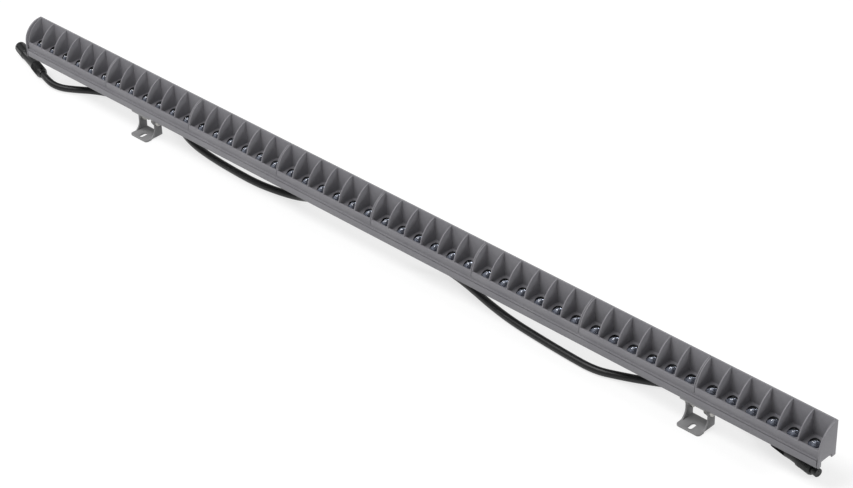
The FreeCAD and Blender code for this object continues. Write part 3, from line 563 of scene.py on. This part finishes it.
class WASHER_OT_visors(bpy.types.Operator):
    """Models one visor module and copies it along the light"""

    bl_idname = "washer.visors"
    bl_label = "Visor modules"

    ARC_CUTS = 11

    def execute(self, context):
        sizes = settings().light_sizes
        pitch = module_pitch(sizes)
        low = Vector(VISOR_LOW)
        high = Vector(VISOR_HIGH)
        low.y += sizes.ledge
        high.x = low.x + pitch - sizes.module_gap
        module = cuboid(low, high)
        self.round_front(module, low, high, sizes)
        self.cut_cells(module, low, high, sizes)
        soften(module, sizes.visor_edge)
        for number in range(sizes.module_count):
            copy = copy_along(module, number * pitch)
            finish_piece(
                copy,
                f"visor_module_{number + 1}",
                "lamp",
                "visor_grey",
                FINISHES["visor_grey"],
                "visor_modules",
            )
        bpy.data.objects.remove(module)
        return {"FINISHED"}

    def round_front(self, module, low, high, sizes):
        """Cuts the front to the fins' arc with a fan of tangent planes."""
        radius = sizes.visor_radius
        middle = Vector((0.0, low.y + radius, high.z - sizes.visor_centre))
        sweep = math.asin(sizes.visor_centre / radius)
        edit(module)
        for cut in range(self.ARC_CUTS):
            angle = math.pi - sweep * (cut + 0.5) / self.ARC_CUTS
            outwards = Vector((0.0, math.cos(angle), math.sin(angle)))
            bpy.ops.mesh.select_all(action="SELECT")
            bpy.ops.mesh.bisect(
                plane_co=middle + outwards * radius,
                plane_no=outwards,
                use_fill=True,
                clear_outer=True,
            )
        leave_edit()

    def cut_cells(self, module, low, high, sizes):
        """Cuts the open underside, the cells and the holes for the domes."""
        inner_front, inner_back = low.y + sizes.front_wall, high.y - sizes.wall
        underside = low.z + sizes.floor_place
        below = cuboid(
            (low.x - BEYOND, inner_front, low.z - BEYOND),
            (high.x + BEYOND, inner_back, underside),
        )
        combine(module, below)
        cell, pitch = cell_sizes(sizes)
        start = low.x + sizes.fin
        top_of_floor = underside + sizes.floor
        lip = underside + sizes.lip
        inside = cuboid(
            (start, inner_front, top_of_floor), (start + cell, inner_back, high.z + BEYOND)
        )
        repeat(inside, sizes.cell_count, pitch)
        combine(module, inside)
        opening = cuboid(
            (start, low.y - BEYOND, lip),
            (start + cell, inner_back - cell / 2, high.z + BEYOND),
        )
        repeat(opening, sizes.cell_count, pitch)
        combine(module, opening)
        hole = rod(
            (start + cell / 2, MIDDLE_Y, underside), sizes.dome_hole / 2, 4 * sizes.floor, 32
        )
        repeat(hole, sizes.cell_count, pitch)
        combine(module, hole)


class WASHER_OT_lenses(bpy.types.Operator):
    """Models one clear strip with its domes and copies it along the light"""

    bl_idname = "washer.lenses"
    bl_label = "Lens strips"

    DOME_ROOT = 0.3 * MM

    def execute(self, context):
        sizes = settings().light_sizes
        pitch = module_pitch(sizes)
        cell, cell_pitch = cell_sizes(sizes)
        top = LENS_HIGH.z - sizes.dome_height
        end_gap = LENS_LOW.x - VISOR_LOW.x
        length = pitch - sizes.module_gap - 2 * end_gap
        low = Vector((LENS_LOW.x, LENS_LOW.y, top - sizes.lens_plate))
        strip = cuboid(low, (low.x + length, LENS_HIGH.y, top))
        for side in (-1, 1):
            outer, inner = sizes.lens_leg_out, sizes.lens_leg_out - sizes.lens_leg
            edges = sorted((side * outer, side * inner))
            leg = cuboid(
                (low.x, MIDDLE_Y + edges[0], LENS_LOW.z),
                (low.x + length, MIDDLE_Y + edges[1], top - sizes.lens_plate / 2),
            )
            combine(strip, leg, "UNION")
        first = VISOR_LOW.x + sizes.fin + cell / 2
        dome = self.dome(Vector((first, MIDDLE_Y, top)), sizes)
        repeat(dome, sizes.cell_count, cell_pitch)
        combine(strip, dome, "UNION")
        shade(strip, 40.0)
        for number in range(sizes.module_count):
            copy = copy_along(strip, number * pitch)
            finish_piece(
                copy,
                f"lens_strip_{number + 1}",
                "lamp",
                "lens_clear",
                FINISHES["lens_clear"],
                "lens_strips",
            )
        bpy.data.objects.remove(strip)
        return {"FINISHED"}

    def dome(self, centre, sizes):
        """The upper half of a ball, pressed to the dome's height, with a root in the strip."""
        bpy.ops.object.select_all(action="DESELECT")
        bpy.ops.mesh.primitive_uv_sphere_add(
            segments=32, ring_count=20, radius=sizes.dome / 2, location=centre
        )
        dome = bpy.context.active_object
        dome.scale.z = 2 * sizes.dome_height / sizes.dome
        place_in_mesh(dome)
        edit(dome)
        bpy.ops.mesh.bisect(
            plane_co=centre - Vector((0.0, 0.0, self.DOME_ROOT)),
            plane_no=(0.0, 0.0, -1.0),
            use_fill=True,
            clear_outer=True,
        )
        leave_edit()
        return dome


class WASHER_OT_housing(bpy.types.Operator):
    """Rounds the edges of the extruded housing and its end caps"""

    bl_idname = "washer.housing"
    bl_label = "Housing and end caps"

    def execute(self, context):
        sizes = settings().light_sizes
        coat = FINISHES["powder_coat_grey"]
        profile = clean_copy("housing_extrusion")
        self.cut_ledge(profile, sizes)
        soften(profile, sizes.profile_edge)
        finish_piece(
            profile, "housing_profile", "lamp", "powder_coat_grey", coat, "housing_extrusion"
        )
        for side in FEET:
            node = "end_cap_" + side
            cap = clean_copy(node)
            soften(cap, sizes.cap_edge, segments=3)
            finish_piece(cap, f"end_plate_{side}", "lamp", "powder_coat_grey", coat, node)
        return {"FINISHED"}

    def cut_ledge(self, profile, sizes):
        """Cuts the ledge before the visors, the upright behind their wall, and the line."""
        low, high = VISOR_LOW, VISOR_HIGH
        for back, bottom in (
            (low.y + sizes.ledge, low.z - sizes.ledge_drop),
            (low.y + sizes.ledge + sizes.front_wall, low.z),
        ):
            cutter = cuboid(
                (low.x - BEYOND, low.y - BEYOND, bottom),
                (high.x + BEYOND, back, low.z + BEYOND),
            )
            combine(profile, cutter)
        line_foot = low.z - sizes.line_drop
        line = cuboid(
            (low.x - BEYOND, low.y - BEYOND, line_foot),
            (high.x + BEYOND, low.y + sizes.line_deep, line_foot + sizes.line_width),
        )
        combine(profile, line)


class WASHER_OT_feet(bpy.types.Operator):
    """Rounds the edges of the bent feet and saddles"""

    bl_idname = "washer.feet"
    bl_label = "Feet and saddles"

    def execute(self, context):
        edge = settings().fitting_sizes.sheet_edge
        coat = FINISHES["bracket_grey"]
        for side in FEET:
            for kind, body in (("foot_", "foot_" + side), ("saddle_", "lamp")):
                piece = clean_copy(kind + side)
                soften(piece, edge)
                name = f"{kind}{side}_sheet"
                finish_piece(piece, name, body, "bracket_grey", coat, kind + side)
        return {"FINISHED"}


class WASHER_OT_screws(bpy.types.Operator):
    """Models the pivot screws with their hex recesses, and the pivot nuts"""

    bl_idname = "washer.screws"
    bl_label = "Screws and nuts"

    TIP_PAST_NUT = 3.2 * MM
    TIP_CHAMFER = 0.3 * MM
    NUT_CHAMFER = 0.6 * MM
    BORE_PLAY = 0.02 * MM

    def execute(self, context):
        sizes = settings().fitting_sizes
        steel = FINISHES["steel"]
        reach = SCREW_HIGH.x - FOOT_X["right"]
        nut_low, nut_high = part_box("pivot_nuts")
        nut_far = nut_high.x - FOOT_X["right"]
        tip = nut_far - self.TIP_PAST_NUT
        for side in FEET:
            for name, sign in (("a", -1), ("b", 1)):
                place = Vector((FOOT_X[side], MIDDLE_Y, PIVOT_Z))
                screw = self.screw(sizes, tip, reach)
                self.set_in_place(screw, place, sign)
                finish_piece(
                    screw, f"pivot_screw_{side}_{name}", "lamp", "steel", steel, "pivot_screws"
                )
                nut = self.nut(sizes, tip, nut_far)
                self.set_in_place(nut, place, sign)
                finish_piece(nut, f"pivot_nut_{side}_{name}", "lamp", "steel", steel, "pivot_nuts")
        return {"FINISHED"}

    def set_in_place(self, obj, place, sign):
        """Turns a piece made along +X to its side of the foot, and moves it there."""
        obj.rotation_euler = (0.0, 0.0, 0.0 if sign > 0 else math.pi)
        obj.location = place
        place_in_mesh(obj)

    def screw(self, sizes, tip, reach):
        """A button-headed screw along +X with a hex recess."""
        head = sizes.screw_head / 2
        under = reach - sizes.screw_head_height
        shank = sizes.screw / 2
        height = sizes.screw_head_height
        screw = turned(
            [
                (tip, shank - self.TIP_CHAMFER),
                (tip + self.TIP_CHAMFER, shank),
                (under, shank),
                (under, head),
                (under + 0.25 * height, head),
                (under + 0.5 * height, head * 0.95),
                (under + 0.75 * height, head * 0.83),
                (under + 0.93 * height, head * 0.66),
                (reach, head * 0.5),
            ],
            32,
        )
        recess = rod(
            (reach, 0.0, 0.0),
            sizes.hex_key / math.sqrt(3),
            2 * sizes.hex_key_deep,
            6,
            ALONG_X,
        )
        combine(screw, recess)
        shade(screw, 32.0)
        return screw

    def nut(self, sizes, low, high):
        """A hexagon nut round X with chamfered corners."""
        corner = sizes.nut_across / math.sqrt(3)
        middle = ((low + high) / 2, 0.0, 0.0)
        nut = rod(middle, corner, high - low, 6, ALONG_X)
        chamfer = turned(
            [
                (low, corner * 0.88),
                (low + self.NUT_CHAMFER, corner * 1.02),
                (high - self.NUT_CHAMFER, corner * 1.02),
                (high, corner * 0.88),
            ],
            36,
        )
        combine(nut, chamfer, "INTERSECT")
        bore = rod(middle, sizes.screw / 2 + self.BORE_PLAY, 3 * (high - low), 32, ALONG_X)
        combine(nut, bore)
        shade(nut, 25.0)
        return nut


# Leads: the points of part.py's routes in metres, the ends included

PLUG_REAR = Vector((-0.4844, -0.003, 0.0))
PLUG_YAW = 162.0
SOCKET_REAR = Vector((0.435, 0.0192, 0.0))
SOCKET_YAW = -11.8
BOOT_Z = 0.0245
LEAD_Z = 0.00375
LEFT_ROUTE = [
    (-0.061, 0.002775, BOOT_Z),
    (-0.077, 0.002775, BOOT_Z),
    (-0.092, 0.0074, 0.0178),
    (-0.106, 0.0136, 0.0088),
    (-0.122, 0.0134, LEAD_Z),
    (-0.142, 0.0082, LEAD_Z),
    (-0.168, 0.0046, LEAD_Z),
    (-0.199, 0.0050, LEAD_Z),
    (-0.232, 0.0068, LEAD_Z),
    (-0.263, 0.0108, LEAD_Z),
    (-0.289, 0.0186, LEAD_Z),
    (-0.312, 0.0306, LEAD_Z),
    (-0.339, 0.0362, LEAD_Z),
    (-0.368, 0.0330, LEAD_Z),
    (-0.395, 0.0250, LEAD_Z),
    (-0.420, 0.0148, LEAD_Z),
    (-0.439, 0.0020, LEAD_Z),
    (-0.451, -0.0048, LEAD_Z),
    (-0.4625, -0.0076, 0.0046),
    (-0.47346, -0.00655, 0.00615),
    (-0.4844, -0.0030, 0.00615),
]
RIGHT_ROUTE = [
    (0.027, 0.002775, BOOT_Z),
    (0.043, 0.002775, BOOT_Z),
    (0.057, 0.0076, 0.0176),
    (0.070, 0.0152, 0.0088),
    (0.0855, 0.0180, LEAD_Z),
    (0.108, 0.0132, LEAD_Z),
    (0.135, 0.0062, LEAD_Z),
    (0.167, 0.0004, LEAD_Z),
    (0.200, -0.0024, LEAD_Z),
    (0.234, -0.0046, LEAD_Z),
    (0.266, -0.0056, LEAD_Z),
    (0.287, 0.0026, LEAD_Z),
    (0.307, 0.0118, LEAD_Z),
    (0.325, 0.0216, LEAD_Z),
    (0.346, 0.0296, LEAD_Z),
    (0.372, 0.0326, LEAD_Z),
    (0.398, 0.0284, LEAD_Z),
    (0.412, 0.0240, 0.0044),
    (0.42374, 0.02155, 0.00615),
    (0.435, 0.0192, 0.00615),
]


class WASHER_OT_leads(bpy.types.Operator):
    """Lays the two leads along their routes"""

    bl_idname = "washer.leads"
    bl_label = "Leads"

    def execute(self, context):
        sizes = settings().lead_sizes
        for side, route, length in (
            ("left", LEFT_ROUTE, sizes.left_length),
            ("right", RIGHT_ROUTE, sizes.right_length),
        ):
            curve = bpy.data.curves.new("lead_" + side, "CURVE")
            curve.dimensions = "3D"
            curve.bevel_depth = sizes.lead / 2
            curve.bevel_resolution = 6
            curve.resolution_u = 12
            curve.use_fill_caps = True
            spline = curve.splines.new("NURBS")
            spline.points.add(len(route) - 1)
            for point, place in zip(spline.points, route):
                point.co = (*place, 1.0)
            spline.order_u = 3
            spline.use_endpoint_u = True
            lead = bpy.data.objects.new("cable_" + side, curve)
            context.scene.collection.objects.link(lead)
            finish_piece(
                lead,
                "cable_" + side,
                "lamp",
                "lead_black",
                FINISHES["lead_black"],
                "lead_" + side,
            )
        return {"FINISHED"}


class WASHER_OT_connectors(bpy.types.Operator):
    """Models the plug with its coupling nut, and the socket"""

    bl_idname = "washer.connectors"
    bl_label = "Plug and socket"

    SIDES = 48
    PIN_SPREAD = 2.2 * MM
    PIN_RADIUS = 0.6 * MM
    PIN_DEEP = 4.0 * MM
    GRIP_RIBS = (6.0 * MM, 20.0 * MM)
    NUT_RIBS = (50.0 * MM, 65.0 * MM)
    PLUG_LENGTH = 59.5
    SOCKET_LENGTH = 56.0
    THREAD_START, THREAD_END, THREAD_PITCH = 38.6, 48.6, 1.5

    def execute(self, context):
        sizes = settings().lead_sizes
        nylon = FINISHES["connector_black"]
        plug = self.plug(sizes)
        self.lay(plug, PLUG_REAR, PLUG_YAW, sizes)
        finish_piece(plug, "plug_grip", "lamp", "connector_black", nylon, "plug_body")
        nut = self.coupling(sizes)
        self.lay(nut, PLUG_REAR, PLUG_YAW, sizes)
        ribbed = FINISHES["nut_black"]
        finish_piece(nut, "coupling_ring", "coupling_nut", "nut_black", ribbed, "coupling_nut")
        socket = self.socket(sizes)
        self.lay(socket, SOCKET_REAR, SOCKET_YAW, sizes)
        finish_piece(socket, "socket_grip", "lamp", "connector_black", nylon, "socket_body")
        return {"FINISHED"}

    def lay(self, obj, rear, yaw, sizes):
        """Lays a connector made along +X on the floor."""
        obj.rotation_euler = (0.0, 0.0, math.radians(yaw))
        obj.location = rear + Vector((0.0, 0.0, sizes.axis_height))
        place_in_mesh(obj)

    def stations(self, rows):
        """Places and diameters in millimetres as stations in metres."""
        return [(x * MM, diameter / 2 * MM) for x, diameter in rows]

    def holes(self, body, face):
        """Drills the holes for two pins into a front face."""
        for side in (-1, 1):
            place = (face, 0.0, side * self.PIN_SPREAD)
            combine(body, rod(place, self.PIN_RADIUS, 2 * self.PIN_DEEP, 16, ALONG_X))

    def plug(self, sizes):
        """The plug: strain relief, ribbed grip, waist and the core inside its nut."""
        grip = sizes.connector / MM
        waist = sizes.waist / MM
        plug = turned(
            self.stations(
                [
                    (0.0, 8.4),
                    (1.2, 8.8),
                    (3.0, 9.4),
                    (4.4, grip - 0.4),
                    (5.2, grip),
                    (21.0, grip),
                    (22.0, grip - 0.3),
                    (27.0, waist),
                    (46.2, waist),
                    (46.8, waist + 0.5),
                    (48.3, waist + 0.5),
                    (48.5, 8.6),
                    (51.5, 8.6),
                    (51.5, 9.8),
                    (53.1, 9.8),
                    (53.1, 8.6),
                    (59.3, 8.6),
                    (self.PLUG_LENGTH, 8.2),
                ]
            ),
            self.SIDES,
        )
        self.holes(plug, self.PLUG_LENGTH * MM)
        rib(plug, *self.GRIP_RIBS, sizes.groove)
        shade(plug, 30.0)
        return plug

    def coupling(self, sizes):
        """The coupling nut: a ribbed ring round the plug's core."""
        outer = sizes.coupling / MM
        nut = turned(
            self.stations(
                [
                    (48.6, 8.8),
                    (48.6, outer - 1.0),
                    (49.2, outer),
                    (65.4, outer),
                    (66.0, outer - 0.4),
                    (68.0, outer - 0.4),
                    (68.6, outer - 0.9),
                    (68.6, 10.4),
                    (51.2, 10.4),
                    (51.2, 8.8),
                    (48.6, 8.8),
                ]
            ),
            self.SIDES,
            ring=True,
        )
        rib(nut, *self.NUT_RIBS, sizes.groove)
        shade(nut, 30.0)
        return nut

    def socket(self, sizes):
        """The socket: strain relief, ribbed grip, threaded collar and nose."""
        grip = sizes.connector / MM
        outer = sizes.coupling / MM
        rows = [
            (0.0, 8.4),
            (1.2, 8.8),
            (3.0, 9.4),
            (4.4, grip - 0.4),
            (5.2, grip),
            (21.0, grip),
            (22.0, grip - 0.3),
            (27.0, grip - 1.0),
            (34.0, grip - 1.0),
            (34.5, outer),
            (37.5, outer),
            (38.0, 11.0),
        ]
        thread = self.THREAD_START
        while thread < self.THREAD_END:
            rows += [(thread, 11.0), (thread + 0.35, 11.9), (thread + 0.75, 11.9)]
            rows += [(thread + 1.1, 11.0)]
            thread += self.THREAD_PITCH
        rows += [(49.6, 11.0), (50.0, 10.4), (50.0, 7.8), (55.7, 7.8)]
        rows += [(self.SOCKET_LENGTH, 7.4)]
        socket = turned(self.stations(rows), self.SIDES)
        self.holes(socket, self.SOCKET_LENGTH * MM)
        rib(socket, *self.GRIP_RIBS, sizes.groove)
        shade(socket, 30.0)
        return socket


class WASHER_OT_boots(bpy.types.Operator):
    """Rounds the moulded cable boots under the housing"""

    bl_idname = "washer.boots"
    bl_label = "Cable boots"

    def execute(self, context):
        edge = settings().fitting_sizes.boot_edge
        for side in FEET:
            node = "cable_boot_" + side
            boot = clean_copy(node)
            soften(boot, edge, segments=3, angle=50.0)
            finish_piece(
                boot, f"boot_{side}", "lamp", "boot_black", FINISHES["boot_black"], node
            )
        return {"FINISHED"}


class WASHER_OT_finishes(bpy.types.Operator):
    """Gives every CAD node that still shows the finish of its material slot"""

    bl_idname = "washer.finishes"
    bl_label = "Finishes"

    SLOTS = {
        "board_jumper": "driver_black",
        "cap_gasket_left": "gasket_rubber",
        "cap_gasket_right": "gasket_rubber",
        "clamp_screws": "steel",
        "driver_chips_left": "driver_black",
        "driver_chips_right": "driver_black",
        "led_board_left": "board_dark",
        "led_board_right": "board_dark",
        "led_chips_left": "led_clear",
        "led_chips_right": "led_clear",
        "plug_pins": "pin_brass",
        "plug_seal": "gasket_rubber",
        "slide_nuts": "steel",
        "socket_contacts": "pin_brass",
        "thermal_pad_left": "thermal_pad",
        "thermal_pad_right": "thermal_pad",
        "wire_cores": "core_insulation",
    }

    def execute(self, context):
        for node, slot in self.SLOTS.items():
            data = frame["nodes"][node].data
            data.materials.clear()
            data.materials.append(FINISHES[slot])
        return {"FINISHED"}


class WASHER_OT_stage(bpy.types.Operator):
    """Sets up the camera, the pale floor and the soft studio light"""

    bl_idname = "washer.stage"
    bl_label = "Stage"

    CAMERA_PLACE = (1.3165, -1.26175, 1.2352)
    CAMERA_RIGHT = (0.7207, 0.6928, -0.0241)
    CAMERA_DOWN = (0.3724, -0.4163, -0.8295)
    CAMERA_FORWARD = (-0.5847, 0.5889, -0.5580)
    LENS = 101.2
    LAMPS = (
        ("key", (-0.5, -1.1, 3.0), 1.5, 62.0),
        ("left_window", (-2.2, -0.8, 1.6), 0.5, 10.0),
        ("right_window", (2.6, 0.6, 1.5), 0.7, 20.0),
    )
    FLOOR_TONE = "#E6E6E6"
    FLOOR_WIDTH = 30.0
    FLOOR_DROP = 0.2 * MM
    GLOW, GLOW_SHARE = 1.2, 0.6
    WORLD_LIGHT, WORLD_SEEN = 0.35, 1.0

    def execute(self, context):
        self.camera(context)
        self.floor()
        for name, place, width, watts in self.LAMPS:
            self.lamp(context, name, place, width, watts)
        self.world(context)
        context.scene.view_settings.view_transform = "Standard"
        return {"FINISHED"}

    def camera(self, context):
        """The camera at the photo's place, turn and lens."""
        data = bpy.data.cameras.new("camera")
        data.sensor_width = 36.0
        data.lens = self.LENS
        data.clip_start = 0.05
        data.clip_end = 50.0
        camera = bpy.data.objects.new("camera", data)
        right = Vector(self.CAMERA_RIGHT)
        up = -Vector(self.CAMERA_DOWN)
        back = -Vector(self.CAMERA_FORWARD)
        turn = Matrix((right, up, back)).transposed().to_4x4()
        camera.matrix_world = Matrix.Translation(self.CAMERA_PLACE) @ turn
        context.scene.collection.objects.link(camera)
        context.scene.camera = camera

    def floor(self):
        """White paper that keeps a soft shadow and looks white where the camera sees it."""
        bpy.ops.object.select_all(action="DESELECT")
        bpy.ops.mesh.primitive_plane_add(size=self.FLOOR_WIDTH, location=(0, 0, -self.FLOOR_DROP))
        floor = place_in_mesh(bpy.context.active_object)
        floor.name = "floor"
        material, tree, shader = new_material("white_paper", linear(self.FLOOR_TONE), 0.9)
        white = add_node(tree, "ShaderNodeEmission", values={"Strength": self.GLOW})
        rays = add_node(tree, "ShaderNodeLightPath")
        seen = self.seen(tree, rays)
        share = add_node(
            tree,
            "ShaderNodeMath",
            {0: (seen, "Value")},
            {1: self.GLOW_SHARE},
            operation="MULTIPLY",
        )
        mix = add_node(
            tree,
            "ShaderNodeMixShader",
            {"Fac": (share, "Value"), 1: (shader, "BSDF"), 2: (white, "Emission")},
        )
        output = tree.nodes["Material Output"]
        tree.links.new(mix.outputs["Shader"], output.inputs["Surface"])
        floor.data.materials.append(material)

    def seen(self, tree, rays):
        """One where the camera, a reflection or clear plastic sees the surface."""
        either = add_node(
            tree,
            "ShaderNodeMath",
            {0: (rays, "Is Camera Ray"), 1: (rays, "Is Glossy Ray")},
            operation="MAXIMUM",
        )
        return add_node(
            tree,
            "ShaderNodeMath",
            {0: (either, "Value"), 1: (rays, "Is Transmission Ray")},
            operation="MAXIMUM",
        )

    def lamp(self, context, name, place, width, watts):
        """A square soft light turned to the middle of the floor."""
        data = bpy.data.lights.new(name, "AREA")
        data.shape = "SQUARE"
        data.size = width
        data.energy = watts
        lamp = bpy.data.objects.new(name, data)
        lamp.location = place
        lamp.rotation_euler = (-Vector(place)).to_track_quat("-Z", "Y").to_euler()
        context.scene.collection.objects.link(lamp)

    def world(self, context):
        """Even white light, brighter where the camera looks past the floor."""
        world = bpy.data.worlds.new("studio")
        world.use_nodes = True
        tree = world.node_tree
        background = tree.nodes["Background"]
        background.inputs["Color"].default_value = (1.0, 1.0, 1.0, 1.0)
        rays = add_node(tree, "ShaderNodeLightPath")
        seen = add_node(
            tree,
            "ShaderNodeMapRange",
            {"Value": (rays, "Is Camera Ray")},
            {"To Min": self.WORLD_LIGHT, "To Max": self.WORLD_SEEN},
        )
        tree.links.new(seen.outputs["Result"], background.inputs["Strength"])
        context.scene.world = world


class WASHER_PT_panel(bpy.types.Panel):
    """Lists the light's sizes, colours and pieces"""

    bl_idname = "WASHER_PT_panel"
    bl_label = "Wall washer"
    bl_space_type = "VIEW_3D"
    bl_region_type = "UI"
    bl_category = "Wall washer"

    def draw(self, context):
        for name in GROUPS:
            box = self.layout.box()
            group = getattr(context.scene, name)
            for prop in group.bl_rna.properties:
                if prop.identifier not in ("rna_type", "name"):
                    box.prop(group, prop.identifier)
        for operator in OPERATORS:
            self.layout.operator(operator.bl_idname)


GROUPS = {
    "light_sizes": LightSizes,
    "fitting_sizes": FittingSizes,
    "lead_sizes": LeadSizes,
    "light_colours": LightColours,
}
OPERATORS = (
    WASHER_OT_visors,
    WASHER_OT_lenses,
    WASHER_OT_housing,
    WASHER_OT_feet,
    WASHER_OT_screws,
    WASHER_OT_connectors,
    WASHER_OT_leads,
    WASHER_OT_boots,
    WASHER_OT_finishes,
    WASHER_OT_stage,
)


def register():
    for name, group in GROUPS.items():
        bpy.utils.register_class(group)
        setattr(bpy.types.Scene, name, bpy.props.PointerProperty(type=group))
    for operator in OPERATORS:
        bpy.utils.register_class(operator)
    bpy.utils.register_class(WASHER_PT_panel)


def unregister():
    bpy.utils.unregister_class(WASHER_PT_panel)
    for operator in reversed(OPERATORS):
        bpy.utils.unregister_class(operator)
    for name, group in GROUPS.items():
        delattr(bpy.types.Scene, name)
        bpy.utils.unregister_class(group)


def main():
    register()
    make_finishes()
    bpy.ops.washer.visors()
    bpy.ops.washer.lenses()
    bpy.ops.washer.housing()
    bpy.ops.washer.feet()
    bpy.ops.washer.screws()
    bpy.ops.washer.connectors()
    bpy.ops.washer.leads()
    bpy.ops.washer.boots()
    bpy.ops.washer.finishes()
    bpy.ops.washer.stage()


if __name__ == "__main__":
    main()
